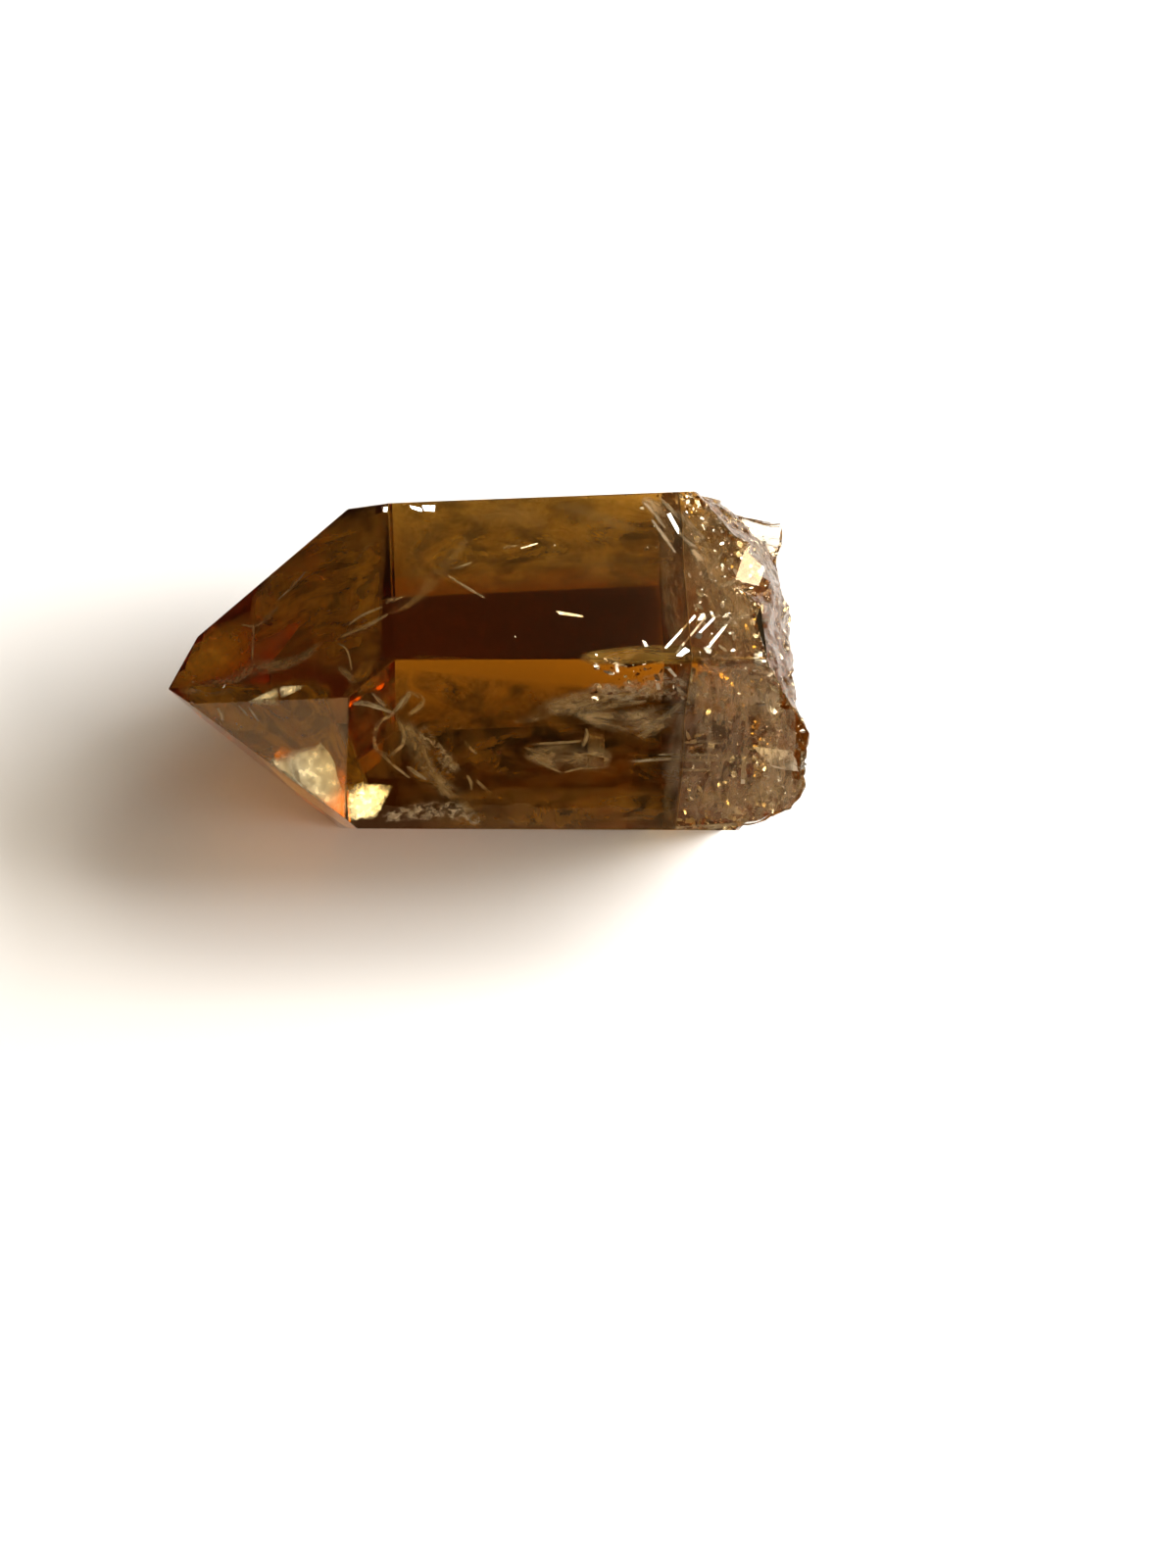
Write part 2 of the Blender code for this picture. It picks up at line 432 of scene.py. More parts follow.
# dark: how dark the tint gets; clouds and lines: their size along and across, mm; cover and soft:
# how little of the veil is clouded, and how softly; fill: how much of a cloud lies between its lines;
# clear: how much light goes through; edge: how soon a veil fades out sideways
veilLooks = {
    "topCloud": {
        "tint": (0.46, 0.25, 0.04), "dark": 0.25, "clouds": (5.0, 3.2), "lines": (4.0, 2.2), "detail": 5.0,
        "cover": 0.44, "soft": 0.16, "fill": 0.9, "strength": 0.75, "clear": 0.2, "edge": 0.6},
    "frontCloud": {
        "tint": (0.44, 0.21, 0.03), "dark": 0.2, "clouds": (4.4, 3.0), "lines": (3.6, 2.4), "detail": 5.0,
        "cover": 0.45, "soft": 0.14, "fill": 0.9, "strength": 0.80, "clear": 0.2, "edge": 0.6},
    "tipCloud": {
        "tint": (0.80, 0.42, 0.06), "dark": 0.5, "clouds": (5.0, 3.4), "lines": (4.0, 2.2), "detail": 3.5,
        "cover": 0.38, "soft": 0.24, "fill": 0.9, "strength": 0.85, "clear": 0.3, "edge": 0.6},
    "faceCloud": {
        "tint": (0.62, 0.29, 0.02), "dark": 0.45, "clouds": (5.0, 4.0), "lines": (4.0, 2.6), "detail": 4.0,
        "cover": 0.25, "soft": 0.25, "fill": 0.9, "strength": 0.92, "clear": 0.2, "edge": 0.35},
    "baseCloud": {
        "tint": (0.58, 0.34, 0.14), "dark": 0.3, "clouds": (3.2, 1.8), "lines": (2.6, 1.0), "detail": 7.0,
        "cover": 0.44, "soft": 0.16, "fill": 0.55, "strength": 0.70, "clear": 0.3, "edge": 0.6},
    # flash: a pale sheet look that paints a highlight, the glint along a worn edge
    "flash": {
        "tint": (1.0, 0.92, 0.62), "dark": 0.8, "clouds": (3.0, 2.0), "lines": (2.0, 1.0), "detail": 4.0,
        "cover": 0.40, "soft": 0.25, "fill": 0.9, "strength": 0.9, "clear": 0.3, "edge": 0.4},
    "smoke": {
        "tint": (0.60, 0.38, 0.15), "dark": 0.5, "clouds": (3.6, 2.0), "lines": (3.0, 0.8), "detail": 6.0,
        "cover": 0.45, "soft": 0.20, "fill": 0.6, "strength": 0.45, "clear": 0.3, "edge": 1.4},
    "lace": {
        "tint": (0.94, 0.72, 0.46), "dark": 0.5, "clouds": (2.0, 1.1), "lines": (1.8, 0.8), "detail": 8.0,
        "cover": 0.47, "soft": 0.14, "fill": 0.65, "strength": 0.95, "clear": 0.2, "edge": 1.8},
    "blade": {
        "tint": (0.92, 0.76, 0.54), "dark": 0.6, "clouds": (1.6, 0.5), "lines": (3.0, 0.3), "detail": 5.0,
        "cover": 0.42, "soft": 0.18, "fill": 0.65, "strength": 1.0, "clear": 0.2, "edge": 0.9},
    "speckle": {
        "tint": (0.95, 0.78, 0.58), "dark": 0.6, "clouds": (0.9, 0.6), "lines": (0.8, 0.5), "detail": 5.0,
        "cover": 0.52, "soft": 0.06, "fill": 0.45, "strength": 0.90, "clear": 0.2, "edge": 0.8},
    "milk": {
        "tint": (0.86, 0.62, 0.40), "dark": 0.35, "clouds": (3.2, 1.8), "lines": (2.6, 1.0), "detail": 7.0,
        "cover": 0.44, "soft": 0.16, "fill": 0.55, "strength": 0.72, "clear": 0.3, "edge": 0.6},
    "wall": {
        "tint": (0.75, 0.48, 0.20), "dark": 0.6, "clouds": (9.0, 7.0), "lines": (8.0, 6.0), "detail": 1.0,
        "cover": 0.10, "soft": 0.30, "fill": 1.0, "strength": 0.96, "clear": 0.6},
}

# a veil's look, the face it lies under, how deep in mm, and its line through pixels of the view, as
# x, y and width
veils = {
    "rope": ("blade", "front", 1.5, ((354, 711, 4), (372, 717, 7), (389, 723, 6), (403, 729, 4))),
    "wingEdge": ("blade", "front", 2.0, ((401, 729, 5), (410, 717, 8), (420, 705, 5))),
    "wing": ("lace", "front", 2.4, ((418, 705, 4), (430, 712, 8), (428, 722, 8), (416, 730, 5))),
    "wingSpikes": ("blade", "front", 1.6, ((380, 706, 3), (386, 714, 5), (394, 722, 4))),
    "lensLeft": ("lace", "front", 2.4,
        ((402, 729, 4), (388, 736, 7), (382, 751, 7), (384, 765, 7), (396, 771, 5))),
    "lensRight": ("lace", "front", 2.4, ((396, 771, 5), (410, 760, 7), (412, 746, 8), (404, 731, 4))),
    "curtain": ("lace", "front", 2.6,
        ((406, 730, 8), (420, 748, 24), (429, 768, 28), (438, 786, 18), (454, 803, 22), (470, 820, 34),
         (484, 840, 46))),
    "curtainBits": ("speckle", "front", 2.2,
        ((424, 735, 8), (436, 752, 16), (447, 766, 14), (456, 776, 18), (462, 790, 22))),
    "bladeLong": ("blade", "front", 2.4, ((388, 769, 3), (401, 780, 4), (419, 794, 3))),
    "bladeShort": ("blade", "front", 1.8, ((415, 782, 3), (426, 790, 6), (437, 796, 3))),
    "footSpeckle": ("speckle", "front", 1.2,
        ((390, 834, 12), (415, 830, 20), (445, 827, 24), (468, 828, 22), (490, 840, 10))),
    "arcOne": ("blade", "front", 3.0, ((476, 790, 3), (481, 799, 5), (481, 808, 3))),
    "arcTwo": ("blade", "front", 3.0, ((485, 795, 3), (493, 803, 5), (503, 810, 3))),
    "arcThree": ("lace", "front", 3.0, ((452, 772, 4), (460, 776, 12), (468, 783, 5))),
    "arcFour": ("lace", "front", 3.0, ((474, 755, 3), (481, 764, 6), (487, 770, 3))),
    "bandUpper": ("lace", "front", 1.8,
        ((524, 738, 5), (546, 731, 14), (564, 722, 24), (592, 717, 32), (622, 712, 30), (650, 706, 20),
         (690, 700, 14))),
    "bandSpray": ("lace", "front", 1.4, ((585, 728, 8), (620, 735, 26), (655, 735, 34), (690, 728, 24))),
    "bandSpeckle": ("speckle", "front", 1.0,
        ((600, 700, 10), (640, 706, 26), (680, 700, 34), (715, 712, 24))),
    "harpCloud": ("lace", "front", 2.0, ((535, 770, 10), (560, 772, 30), (590, 772, 36), (625, 775, 24))),
    "bandLower": ("lace", "front", 2.0,
        ((560, 722, 6), (580, 727, 8), (606, 722, 12), (630, 719, 10), (660, 716, 5))),
    "harpTop": ("blade", "front", 2.6, ((540, 759, 2), (563, 758, 4), (595, 756, 3))),
    "harpPost": ("blade", "front", 2.6, ((597, 742, 3), (599, 750, 6), (594, 763, 5))),
    "harpMiddle": ("lace", "front", 2.6, ((535, 763, 3), (554, 769, 7), (576, 773, 8), (601, 773, 6))),
    "harpFoot": ("blade", "front", 2.6, ((540, 770, 2), (553, 779, 4), (574, 789, 3))),
    "harpBase": ("blade", "front", 2.6, ((575, 788, 3), (592, 784, 4), (612, 784, 3))),
    "wingRight": ("lace", "front", 2.2, ((648, 755, 8), (664, 748, 14), (680, 738, 8))),
    "diagonal": ("blade", "front", 1.6, ((664, 740, 4), (684, 727, 8), (706, 708, 5))),
    "seam": ("smoke", "front", 0.8,
        ((708, 684, 8), (704, 713, 12), (695, 738, 12), (690, 770, 12), (684, 795, 12), (681, 824, 12),
         (688, 846, 12))),
    "levelOne": ("blade", "front", 1.2, ((640, 776, 2), (668, 775, 5), (712, 776, 4), (757, 775, 3))),
    "levelTwo": ("blade", "front", 1.2, ((670, 770, 2), (706, 770, 4), (756, 771, 3))),
    "levelThree": ("blade", "front", 1.2, ((686, 785, 2), (712, 786, 4), (738, 784, 2))),
    "levelFour": ("blade", "front", 1.2, ((706, 757, 2), (730, 757, 4), (756, 757, 2))),
    "footLine": ("blade", "front", 1.0, ((686, 844, 3), (720, 843, 6), (764, 841, 3))),
    "footStreak": ("smoke", "front", 1.5, ((633, 836, 3), (650, 835, 6), (668, 833, 4))),
    "streakOne": ("blade", "tipTop", 2.0, ((355, 639, 3), (372, 627, 5), (390, 618, 3))),
    "streakTwo": ("blade", "tipTop", 2.0, ((347, 651, 3), (373, 640, 7), (397, 626, 3))),
    "streakThree": ("lace", "top", 2.0, ((394, 615, 3), (404, 611, 7), (413, 608, 3))),
    "bladeFar": ("smoke", "tipTop", 2.0, ((361, 575, 5), (375, 560, 9), (389, 547, 6))),
    "smokeTwo": ("smoke", "top", 2.8, ((478, 530, 14), (505, 525, 34), (535, 528, 36), (560, 536, 20))),
    "smokeFive": ("smoke", "top", 2.4, ((566, 515, 8), (590, 520, 16), (620, 532, 18), (650, 540, 10))),
    "slope": ("smoke", "top", 1.8,
        ((402, 626, 10), (426, 607, 18), (449, 585, 18), (466, 562, 14), (478, 548, 8))),
    "slopeTwo": ("blade", "top", 1.6, ((456, 587, 2), (476, 600, 4), (495, 611, 3))),
    "dashLeft": ("lace", "top", 1.6, ((512, 560, 3), (520, 558, 5), (530, 556, 3))),
    "dashSmall": ("blade", "top", 2.0, ((463, 580, 2), (473, 577, 4), (483, 573, 2))),
    "tipVeil": ("lace", "tipTop", 1.6,
        ((184, 706, 7), (208, 702, 18), (237, 697, 24), (257, 683, 22), (284, 679, 18), (313, 669, 14),
         (326, 655, 6))),
    "tipCrack": ("lace", "tipTop", 1.2, ((244, 636, 3), (258, 639, 6), (271, 630, 10), (284, 619, 6))),
    "tipCrackFar": ("blade", "tipTop", 1.2, ((283, 613, 2), (298, 598, 4), (314, 582, 2))),
    "tipWall": ("lace", "tipTop", 1.0, ((258, 636, 3), (259, 650, 4), (258, 678, 3))),
    "ringArc": ("blade", "tipTop", 1.4, ((343, 655, 2), (352, 661, 3), (357, 673, 3), (359, 685, 2))),
    "ringMilk": ("lace", "tipTop", 1.8, ((345, 680, 6), (354, 688, 10), (362, 696, 6))),
    "featherOne": ("blade", "tipFront", 1.0, ((243, 720, 2), (249, 726, 4), (253, 731, 2))),
    "featherTwo": ("blade", "tipFront", 1.0, ((253, 721, 2), (259, 729, 4), (264, 737, 2))),
    "featherThree": ("lace", "tipFront", 1.2, ((222, 722, 4), (226, 728, 8), (227, 736, 4))),
    "topClouds": ("topCloud", "top", 3.0,
        ((404, 556, 110), (450, 552, 130), (520, 548, 130), (600, 548, 120), (680, 552, 110),
         (745, 570, 90))),
    "frontClouds": ("frontCloud", "front", 3.2,
        ((404, 772, 150), (470, 772, 140), (540, 770, 130), (640, 772, 130), (745, 775, 130))),
    # a brown cloud band, partly smoke and partly painted shade that darkens the lower half of the bright
    # band under the ridge
    "frontSmokeAndShadeBand": ("frontCloud", "front", 3.6,
        ((420, 690, 20), (470, 706, 40), (530, 716, 50), (620, 722, 50), (740, 722, 44))),
    "frontLeftCloud": ("frontCloud", "front", 2.8, ((394, 682, 50), (388, 730, 64), (378, 795, 60))),
    "frontFoot": ("frontCloud", "front", 2.2,
        ((430, 828, 54), (520, 828, 60), (610, 828, 60), (705, 826, 60))),
    "baseBorder": ("baseCloud", "top", 1.0,
        ((680, 508, 26), (687, 540, 34), (690, 580, 34), (692, 630, 32), (700, 664, 22))),
    "baseRidge": ("milk", "front", 0.5, ((712, 676, 14), (750, 682, 28), (792, 692, 24))),
    # a pale sheet just under the tip's lower front edge, a painted highlight for the edge's glint
    "edgeLight": ("flash", "tipFront", 0.3, ((288, 786, 3), (316, 809, 5), (342, 830, 3))),
    "tipFrontClouds": ("faceCloud", "tipFront", 2.2,
        ((184, 708, 24), (235, 733, 70), (285, 750, 110), (330, 756, 130), (360, 754, 110))),
    "tipClouds": ("tipCloud", "tipTop", 2.6,
        ((255, 645, 90), (280, 635, 130), (320, 612, 180), (365, 600, 200), (402, 590, 210))),
    "baseTopMilk": ("baseCloud", "top", 0.5,
        ((708, 520, 60), (740, 560, 110), (770, 640, 140), (780, 668, 110))),
    "baseFrontMilk": ("milk", "front", 0.5,
        ((765, 675, 150), (762, 730, 170), (758, 790, 170), (750, 840, 130))),
    "ridgeCloud": ("topCloud", "top", 0.6,
        ((590, 672, 10), (620, 669, 18), (660, 667, 22), (700, 667, 22), (738, 670, 18))),
    "cornerStreak1": ("blade", "top", 0.6, ((655, 512, 3), (668, 524, 5), (680, 540, 3))),
    "cornerStreak2": ("blade", "top", 0.6, ((672, 506, 3), (684, 518, 5), (696, 532, 3))),
    "cornerStreak3": ("blade", "top", 0.6, ((690, 540, 3), (700, 552, 6), (712, 560, 3))),
    "cornerStreak4": ("blade", "top", 0.6, ((664, 530, 3), (678, 548, 5), (690, 566, 3))),
    "baseStreak1": ("blade", "top", 0.8, ((690, 520, 5), (704, 535, 8), (718, 552, 5))),
    "baseStreak2": ("blade", "top", 0.8, ((715, 590, 4), (728, 575, 8), (742, 556, 4))),
    "baseStreak3": ("lace", "top", 0.8, ((705, 560, 6), (716, 575, 14), (722, 592, 6))),
    "baseStreak4": ("blade", "top", 0.8, ((735, 600, 4), (752, 592, 8), (770, 584, 4))),
    "baseStreak5": ("lace", "top", 0.8, ((728, 640, 6), (748, 632, 16), (766, 628, 6))),
    "baseStreak6": ("blade", "top", 0.8, ((745, 540, 4), (760, 552, 8), (772, 566, 4))),
    "baseStreak7": ("lace", "front", 0.8, ((715, 745, 6), (735, 735, 14), (752, 722, 6))),
    "baseStreak8": ("blade", "front", 0.8, ((770, 700, 4), (782, 715, 8), (790, 735, 4))),
    "baseStreak9": ("lace", "front", 0.8, ((760, 810, 6), (778, 800, 14), (800, 794, 6))),
    "baseTopWisps": ("lace", "top", 1.4,
        ((655, 508, 14), (682, 530, 26), (712, 560, 36), (735, 600, 50), (752, 650, 60))),
    "baseFrontWisps": ("lace", "front", 1.4,
        ((690, 690, 24), (725, 705, 40), (760, 712, 50), (795, 725, 40))),
    "baseFootWisps": ("lace", "front", 1.6,
        ((700, 815, 24), (740, 812, 36), (780, 806, 40), (812, 795, 30))),
}

veilShape = {
    "across": 10,        # cells
    "step": 0.45,        # mm, a cell's length
    "fewest": 6,         # cells along a veil
    "ahead": 0.02,       # share of the length over which the heading is taken
    "swell": 0.5,        # mm
    "swellSize": 3.0,    # mm
    "thickness": 0.02,   # mm
    "ends": 0.1,         # share of the length that fades out
    "seedStep": 7.3,
}

veilTexture = {
    "roughness": 0.62,
    "cloudTwist": 0.6,
    "lineTwist": 0.9,
    "line": (0.01, 0.06),   # from a line's core to its edge
    "tone": (0.4, 0.6),     # from dark to full tint
    "gloss": 0.6,           # the sheet's roughness
    "ior": 1.2,
}

# the sheet that the milky root begins at
wall = {
    "place": (18.0, 0, 16),         # mm, a place on it
    "facing": (1.0, -0.07, 0.05),
    "flat": 1.0,      # degrees, what still counts as one edge
    "gap": 0.985,     # how much of the section it fills
    "wave": 0.25,     # mm
    "waveSize": 6.0,  # mm
    "cuts": 5,
    "seed": 3.1,
}


def rangeNode(nodes, links, value, low, high, toLow=0.0, toHigh=1.0):
    mapped = nodes.new("ShaderNodeMapRange")
    for socket, limit in zip(("From Min", "From Max", "To Min", "To Max"), (low, high, toLow, toHigh)):
        mapped.inputs[socket].default_value = limit
    links.new(value, mapped.inputs["Value"])
    return mapped.outputs["Result"]


def stretchedNoise(nodes, links, place, size, detail, distortion):
    stretch = nodes.new("ShaderNodeMapping")
    stretch.inputs["Scale"].default_value = (1 / size[0], 1 / size[1], 1.0)
    links.new(place, stretch.inputs["Vector"])
    texture = nodes.new("ShaderNodeTexNoise")
    texture.inputs["Scale"].default_value = 1.0
    texture.inputs["Detail"].default_value = detail
    texture.inputs["Roughness"].default_value = veilTexture["roughness"]
    texture.inputs["Distortion"].default_value = distortion
    links.new(stretch.outputs["Vector"], texture.inputs["Vector"])
    return texture.outputs["Fac"]


def veilMaterial(name, look):
    material, nodes, links, shader = newMaterial(name)
    sheet = attributeNode(nodes, "sheet")["Vector"]
    inside = attributeNode(nodes, "inside")["Fac"]
    low, high = look["cover"] - look["soft"], look["cover"] + look["soft"]
    clouds = stretchedNoise(nodes, links, sheet, look["clouds"], look["detail"], veilTexture["cloudTwist"])
    cover = rangeNode(nodes, links, clouds, low, high)
    folds = stretchedNoise(nodes, links, sheet, look["lines"], look["detail"], veilTexture["lineTwist"])
    off = mathNode(nodes, links, 'ABSOLUTE', mathNode(nodes, links, 'SUBTRACT', folds, 0.5))
    lines = rangeNode(nodes, links, off, *veilTexture["line"], 1.0, look["fill"])
    alpha = mathNode(nodes, links, 'MULTIPLY', cover, lines)
    alpha = mathNode(nodes, links, 'MULTIPLY', alpha, inside)
    alpha = mathNode(nodes, links, 'MULTIPLY', alpha, look["strength"])
    links.new(alpha, shader.inputs["Alpha"])
    tone = nodes.new("ShaderNodeMix")
    tone.data_type = 'RGBA'
    tone.inputs["A"].default_value = tuple(part * look["dark"] for part in look["tint"]) + (1.0,)
    tone.inputs["B"].default_value = look["tint"] + (1.0,)
    links.new(rangeNode(nodes, links, folds, *veilTexture["tone"]), tone.inputs["Factor"])
    links.new(tone.outputs["Result"], shader.inputs["Base Color"])
    shader.inputs["Roughness"].default_value = veilTexture["gloss"]
    shader.inputs["IOR"].default_value = veilTexture["ior"]
    shader.inputs["Transmission Weight"].default_value = look["clear"]
    return material


probe = {
    "directions": ((0.31, 0.17, 0.93), (-0.42, 0.61, 0.67), (0.13, -0.78, 0.61)),
    "step": 0.001,   # mm past a crossing
}


def within(place, shell):
    # by how often lines that leave the place cross the skin, the most of three
    votes = 0
    for towards in probe["directions"]:
        ray = Vector(towards).normalized()
        start = place
        crossed = 0
        while True:
            start = shell.ray_cast(start, ray)[0]
            if start is None:
                break
            crossed += 1
            start = start + ray * probe["step"] * mm
        votes += crossed % 2
    return votes > 1


def keepInside(bm, shell, depth=0.15, far=0.4, tries=3):
    # pulls a sheet under the crystal's skin and cuts off what is far outside, in mm
    outside = []
    for vert in bm.verts:
        for _ in range(tries):
            near, normal, _, away = shell.find_nearest(vert.co)
            under = (near - vert.co).dot(normal)
            if under < depth * mm and (away < far * mm or under > 0):
                vert.co = near - normal * depth * mm
        if not within(vert.co, shell):
            outside.append(vert)
    bmesh.ops.delete(bm, geom=outside, context='VERTS')
    bmesh.ops.delete(bm, geom=[vert for vert in bm.verts if not vert.link_faces], context='VERTS')


def along(points, share):
    # a place on the smooth line through the points, share from 0 to 1
    last = len(points) - 1
    spot = share * last
    first = min(int(spot), last - 1)
    step = spot - first
    before, start, end, after = (points[max(0, min(last, first + shift))] for shift in (-1, 0, 1, 2))
    pull = (end - before) * 0.5
    leave = (after - start) * 0.5
    return (start * (1 - 3 * step ** 2 + 2 * step ** 3) + end * (3 * step ** 2 - 2 * step ** 3)
            + pull * (step - 2 * step ** 2 + step ** 3) + leave * (step ** 3 - step ** 2))


def makeVeil(name, form, material, sight, seed):
    # a ribbon that lies in a plane under one face, along a line through the places given
    camera, faces, shell = sight
    look, under, depth, line = form
    point, normal = faces[under]
    level = point - normal * depth
    spots = []
    widths = []
    for x, y, width in line:
        enter, ray, pixel = lookIn(x, y, camera, faces)
        spots.append(enter + ray * ((level - enter).dot(normal) / ray.dot(normal)))
        widths.append(Vector((width * pixel, 0)))
    length = sum((b - a).length for a, b in zip(spots, spots[1:]))
    bm = bmesh.new()
    cells = max(veilShape["fewest"], round(length / veilShape["step"]))
    bmesh.ops.create_grid(bm, x_segments=cells, y_segments=veilShape["across"], size=0.5)
    sheet = bm.verts.layers.float_vector.new("sheet")
    inside = bm.verts.layers.float.new("inside")
    for vert in bm.verts:
        share, side = vert.co.x + 0.5, vert.co.y
        start, end = max(0, share - veilShape["ahead"]), min(1, share + veilShape["ahead"])
        ahead = along(spots, end) - along(spots, start)
        width = along(widths, share).x
        sideways = normal.cross(ahead).normalized()
        fade = min(1, share / veilShape["ends"], (1 - share) / veilShape["ends"])
        vert[sheet] = Vector((share * length, side * width, seed))
        vert[inside] = max(0.0, fade) * max(0.0, 1 - (2 * side) ** 2) ** veilLooks[look]["edge"]
        place = along(spots, share) + sideways * side * width
        rise = noise.noise(place / veilShape["swellSize"] + Vector((seed, 0, 0))) * veilShape["swell"]
        vert.co = (place + normal * rise) * mm
    keepInside(bm, shell)
    finishSheet(name, bm, material)


def finishSheet(name, bm, material):
    loose = [edge for edge in bm.edges if not edge.link_faces]
    bmesh.ops.delete(bm, geom=loose, context='EDGES')
    bm.normal_update()
    lifted = bmesh.ops.extrude_face_region(bm, geom=bm.faces[:], use_keep_orig=True)["geom"]
    for vert in lifted:
        if isinstance(vert, bmesh.types.BMVert):
            vert.co += vert.normal * veilShape["thickness"] * mm
    bmesh.ops.recalc_face_normals(bm, faces=bm.faces[:])
    piece = addPiece(name, bm, material)


def makeWall(material):
    # a section right across the crystal
    bm = wholeFaces()
    place = Vector(wall["place"]) * mm
    bmesh.ops.bisect_plane(bm, geom=bm.verts[:] + bm.edges[:] + bm.faces[:], plane_co=place,
                           plane_no=wall["facing"], clear_inner=True, clear_outer=True)
    bmesh.ops.dissolve_limit(bm, angle_limit=radians(wall["flat"]), verts=bm.verts, edges=bm.edges)
    bmesh.ops.contextual_create(bm, geom=bm.edges[:])
    bmesh.ops.scale(bm, vec=(wall["gap"],) * 3, space=Matrix.Translation(-place), verts=bm.verts)
    bmesh.ops.triangulate(bm, faces=bm.faces[:])
    bmesh.ops.subdivide_edges(bm, edges=bm.edges[:], cuts=wall["cuts"], use_grid_fill=True)
    sheet = bm.verts.layers.float_vector.new("sheet")
    inside = bm.verts.layers.float.new("inside")
    for vert in bm.verts:
        vert[sheet] = Vector((vert.co.y / mm, vert.co.z / mm, wall["seed"]))
        vert[inside] = 1.0
        vert.co.x += noise.noise(vert.co / (wall["waveSize"] * mm)) * wall["wave"] * mm
    finishSheet("milkyWall", bm, material)


def makeVeils(sight):
    materials = {name: veilMaterial(name + "Veil", look) for name, look in veilLooks.items()}
    for count, (name, form) in enumerate(veils.items()):
        makeVeil(name, form, materials[form[0]], sight, count * veilShape["seedStep"])
    makeWall(materials["wall"])
    print("veils:", len(veils) + 1)


# a crack's look, the lamp it mirrors, the face that the lamp's light comes in by, how deep it lies
# along the line of sight in mm, and the pixels of its corners, left to right along the top and then
# along the bottom
cracks = {
    "brightPatch": ("flash", "window", "front", 2.6, ((354, 797), (402, 801), (354, 838), (384, 836))),
    "brightWindow": ("glint", "window", "top", 2.5, ((601, 748), (617, 746), (599, 783), (616, 783))),
    "bar1": ("glint", "window", "top", 1.3, ((708, 628), (710, 629), (678, 661), (680, 662))),
    "bar2": ("sheen", "window", "top", 1.3, ((719, 629), (721, 630), (688, 667), (690, 668))),
    "bar3": ("glint", "window", "top", 1.3, ((729, 629), (731, 630), (713, 645), (715, 646))),
    "bar4": ("glint", "window", "top", 1.3, ((746, 630), (748, 631), (721, 660), (723, 662))),
    "bar5": ("glint", "window", "top", 0.5, ((699, 661), (704, 664), (690, 669), (695, 672))),
    "slab": ("sheen", "window", "top", 1.2, ((768, 762), (808, 766), (790, 784), (816, 787))),
    "post": ("sheen", "window", "top", 1.2, ((757, 772), (762, 772), (756, 800), (760, 800))),
    "arc": ("sheen", "window", "top", 2.5, ((567, 623), (594, 628), (571, 627), (595, 630))),
    "dash": ("sheen", "window", "top", 1.6, ((531, 559), (548, 554), (532, 560), (549, 555))),
    "tipGold": ("amber", "front", "tipTop", 1.8, ((184, 650), (270, 618), (158, 710), (272, 704))),
    "frontGlow": ("gold", "front", "tipFront", 1.6, ((266, 776), (320, 762), (286, 800), (340, 830))),
    "frontGold": ("gold", "front", "tipFront", 1.4, ((288, 768), (356, 754), (300, 808), (358, 842))),
    "crescentLow": ("flash", "front", "tipTop", 0.9, ((252, 716), (284, 700), (256, 719), (286, 714))),
    "crescentHigh": ("flash", "front", "tipTop", 0.9, ((284, 700), (310, 699), (286, 713), (307, 704))),
    "speck1": ("glint", "window", "top", 0.4, ((519, 837), (522, 836), (522, 842), (525, 841))),
    "speck2": ("glint", "window", "top", 1.5, ((507, 766), (511, 766), (507, 770), (511, 770))),
    "nick1": ("glint", "window", "top", 0.4, ((389, 517), (395, 516), (390, 522), (395, 522))),
    "nick2": ("glint", "window", "top", 0.4, ((418, 516), (432, 519), (420, 519), (430, 522))),
    "nick3": ("glint", "window", "top", 0.4, ((431, 516), (444, 516), (433, 521), (443, 522))),
    "rodTop": ("glint", "window", "top", 0.6, ((681, 525), (684, 524), (692, 545), (696, 546))),
    "ridgeDot1": ("glint", "window", "top", 0.4, ((606, 679), (611, 679), (606, 683), (611, 683))),
    "ridgeDot2": ("sheen", "window", "top", 0.5, ((627, 678), (630, 678), (629, 686), (632, 686))),
    "ridgeDot3": ("glint", "window", "top", 0.4, ((667, 688), (672, 688), (669, 695), (674, 695))),
    "ridgeDot4": ("sheen", "window", "top", 0.5, ((669, 697), (673, 697), (670, 704), (674, 704))),
    "ridgeDot5": ("sheen", "window", "top", 0.4, ((655, 653), (659, 655), (658, 660), (662, 660))),
    "ridgeDot6": ("sheen", "window", "top", 0.5, ((681, 683), (684, 682), (688, 691), (691, 690))),
}

crackLooks = {
    "glint": {"tint": (0.95, 0.91, 0.85), "gloss": (0.04, 0.20), "bump": 0.08, "feather": 0.0},
    "sheen": {"tint": (0.72, 0.62, 0.50), "gloss": (0.30, 0.60), "bump": 0.4, "feather": 0.0},
    "flash": {"tint": (1.0, 0.86, 0.55), "gloss": (0.10, 0.40), "bump": 0.3, "feather": 0.3},
    "amber": {"tint": (0.80, 0.36, 0.03), "gloss": (0.35, 0.60), "bump": 0.4, "feather": 0.4},
    "gold": {"tint": (1.0, 0.90, 0.62), "gloss": (0.20, 0.45), "bump": 0.1, "feather": 0.1},
}

# jagged, rim and lift are shares of a crack's size
crackShape = {"cells": 10, "jagged": 0.02, "rim": 0.01, "lift": 0.0015, "seed": 11}

# size and depth in mm, and the ranges of the grain that gloss and patches run over
crackGrain = {"size": 0.8, "detail": 4.0, "depth": 0.05, "gloss": (0.3, 0.7), "patches": (0.35, 0.65)}


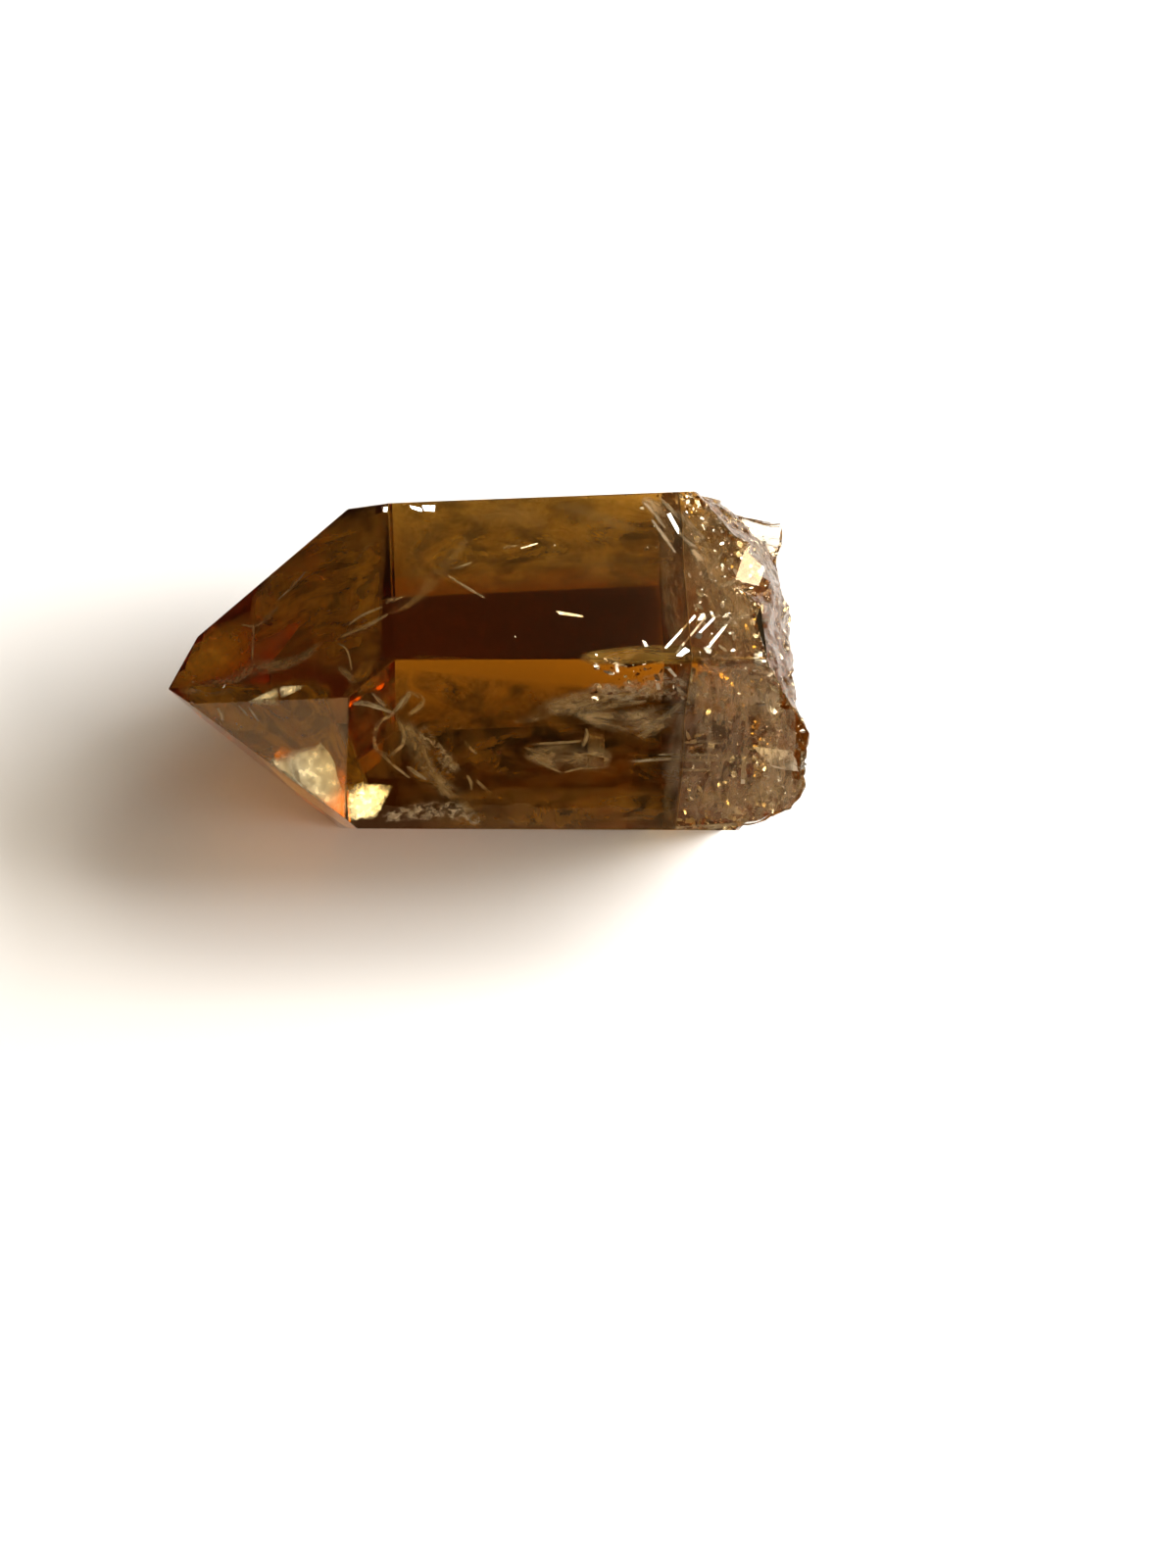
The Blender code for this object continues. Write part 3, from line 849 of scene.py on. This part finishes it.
def crackMaterial(name, look):
    # air in a crack: it mirrors like polished metal
    material, nodes, links, shader = newMaterial(name)
    shader.inputs["Base Color"].default_value = look["tint"] + (1.0,)
    shader.inputs["Metallic"].default_value = 1.0
    grain = grainNode(nodes, links, crackGrain)
    gloss = rangeNode(nodes, links, grain, *crackGrain["gloss"], *look["gloss"])
    links.new(gloss, shader.inputs["Roughness"])
    if look["feather"]:
        inside = attributeNode(nodes, "inside")["Fac"]
        patches = rangeNode(nodes, links, grain, *crackGrain["patches"], 1 - look["feather"], 1.0)
        links.new(mathNode(nodes, links, 'MULTIPLY', inside, patches), shader.inputs["Alpha"])
    bump = bumpNode(nodes, links, grain, crackGrain["depth"], look["bump"])
    links.new(bump, shader.inputs["Normal"])
    return material


def flashing(ray, faceNormal, lamp):
    # the tilt at which a mirror inside sends a lamp's light back along the line of sight
    toLamp = direction(light[lamp]["turn"], light[lamp]["height"])
    inner = bent(-toLamp, faceNormal)
    return (-inner - ray).normalized()


def makeCrack(name, form, material, sight, draw):
    camera, faces, shell = sight
    _, lamp, by, depth, pixels = form
    middle = [sum(corner[i] for corner in pixels) / 4 for i in (0, 1)]
    enter, ray, _ = lookIn(*middle, camera, faces)
    centre = enter + ray * depth
    normal = flashing(ray, faces[by][1], lamp)
    corners = []
    for x, y in pixels:
        enter, ray, _ = lookIn(x, y, camera, faces)
        corners.append(enter + ray * ((centre - enter).dot(normal) / ray.dot(normal)))
    size = min((corners[0] - corners[1]).length, (corners[0] - corners[2]).length)
    bm = bmesh.new()
    bmesh.ops.create_grid(bm, x_segments=crackShape["cells"], y_segments=crackShape["cells"], size=0.5)
    inside = bm.verts.layers.float.new("inside")
    for vert in bm.verts:
        vert[inside] = max(0.0, (1 - 4 * vert.co.x ** 2) * (1 - 4 * vert.co.y ** 2))
        right, up = vert.co.x + 0.5, vert.co.y + 0.5
        rim = crackShape["rim"]
        if not rim < right < 1 - rim or not rim < up < 1 - rim:
            right += draw.uniform(-1, 1) * crackShape["jagged"]
            up += draw.uniform(-1, 1) * crackShape["jagged"]
        place = corners[2].lerp(corners[3], right).lerp(corners[0].lerp(corners[1], right), up)
        vert.co = (place + normal * draw.uniform(-1, 1) * crackShape["lift"] * size) * mm
    keepInside(bm, shell)
    finishSheet(name, bm, material)


def makeCracks(sight, materials):
    draw = random.Random(crackShape["seed"])
    for name, form in cracks.items():
        makeCrack(name, form, materials[form[0]], sight, draw)
    print("cracks:", len(cracks))


# each group fills a box, in mm, under the skin; tilt is in degrees off the angle that flashes
flakes = {
    "baseFlakes": {"look": "glint", "from": (17.5, -19, 8), "to": (30, 13, 33.5),
                   "count": 2200, "size": (0.05, 0.6), "tilt": 20},
    "baseGrains": {"look": "sheen", "from": (17.0, -19, 8), "to": (30, 13, 33.5),
                   "count": 900, "size": (0.1, 0.6), "tilt": 25},
    "cornerFlakes": {"look": "glint", "from": (12.5, 0, 27), "to": (22, 9.5, 32.7),
                     "count": 160, "size": (0.05, 0.35), "tilt": 35},
    "ridgeFlakes": {"look": "glint", "from": (7.5, -12, 28.5), "to": (17, -8.5, 32.4),
                    "count": 90, "size": (0.12, 0.5), "tilt": 35},
    "tipFlakes": {"look": "glint", "from": (-29, -8, 14), "to": (-18, 1, 25),
                  "count": 60, "size": (0.08, 0.35), "tilt": 40},
    "strayFlecks": {"look": "glint", "from": (-24, -16, 4), "to": (20, 12, 32),
                    "count": 140, "size": (0.04, 0.11), "tilt": 60},
}

flakeShape = {
    "seenBy": (700, 650),      # the pixel whose line of sight they flash along
    "depth": (0.3, 2.2),       # mm under the skin
    "corners": 5,
    "width": (0.25, 0.9),      # share of the length
    "uneven": (0.6, 1.25),     # how far each corner is from the middle
    "fine": 3,                 # higher makes more of them small
    "seed": 5,
}


def makeFlakes(name, form, material, sight, draw):
    camera, faces, shell = sight
    bm = bmesh.new()
    low, high = form["from"], form["to"]
    _, ray, _ = lookIn(*flakeShape["seenBy"], camera, faces)
    toFlash = flashing(ray, faces["top"][1], "window").to_track_quat('Z', 'X').to_matrix().to_4x4()
    smallest, largest = form["size"]
    shallow, deep = flakeShape["depth"]
    placedCount = 0
    while placedCount < form["count"]:
        place = Vector([draw.uniform(a, b) for a, b in zip(low, high)])
        near, normal, _, _ = shell.find_nearest(place * mm)
        if not shallow * mm < (near - place * mm).dot(normal) < deep * mm:
            continue
        size = smallest + (largest - smallest) * draw.random() ** flakeShape["fine"]
        tilt = Matrix.Rotation(radians(abs(draw.gauss(0, form["tilt"]))), 4, 'X')
        pose = (Matrix.Translation(place) @ toFlash @ Matrix.Rotation(draw.uniform(0, tau), 4, 'Z') @ tilt
                @ Matrix.Rotation(draw.uniform(0, tau), 4, 'Z')
                @ Matrix.Diagonal((1, draw.uniform(*flakeShape["width"]), 1, 1)))
        made = bmesh.ops.create_circle(bm, cap_ends=True, segments=flakeShape["corners"],
                                       radius=size)["verts"]
        for vert in made:
            vert.co.xy *= draw.uniform(*flakeShape["uneven"])
        bmesh.ops.transform(bm, matrix=Matrix.Scale(mm, 4) @ pose, verts=made)
        placedCount += 1
    keepInside(bm, shell)
    finishSheet(name, bm, material)


def makeAllFlakes(sight, materials):
    draw = random.Random(flakeShape["seed"])
    for name, form in flakes.items():
        makeFlakes(name, form, materials[form["look"]], sight, draw)
    print("flakes:", len(flakes))


scene.view_settings.view_transform = 'Standard'
camera = addCamera()
addLights()
addFloor()
shell = makeCrystal(camera)
sight = (camera, findFaces(), shell)
makeVeils(sight)
crackMaterials = {name: crackMaterial(name + "Crack", look) for name, look in crackLooks.items()}
makeCracks(sight, crackMaterials)
makeAllFlakes(sight, crackMaterials)
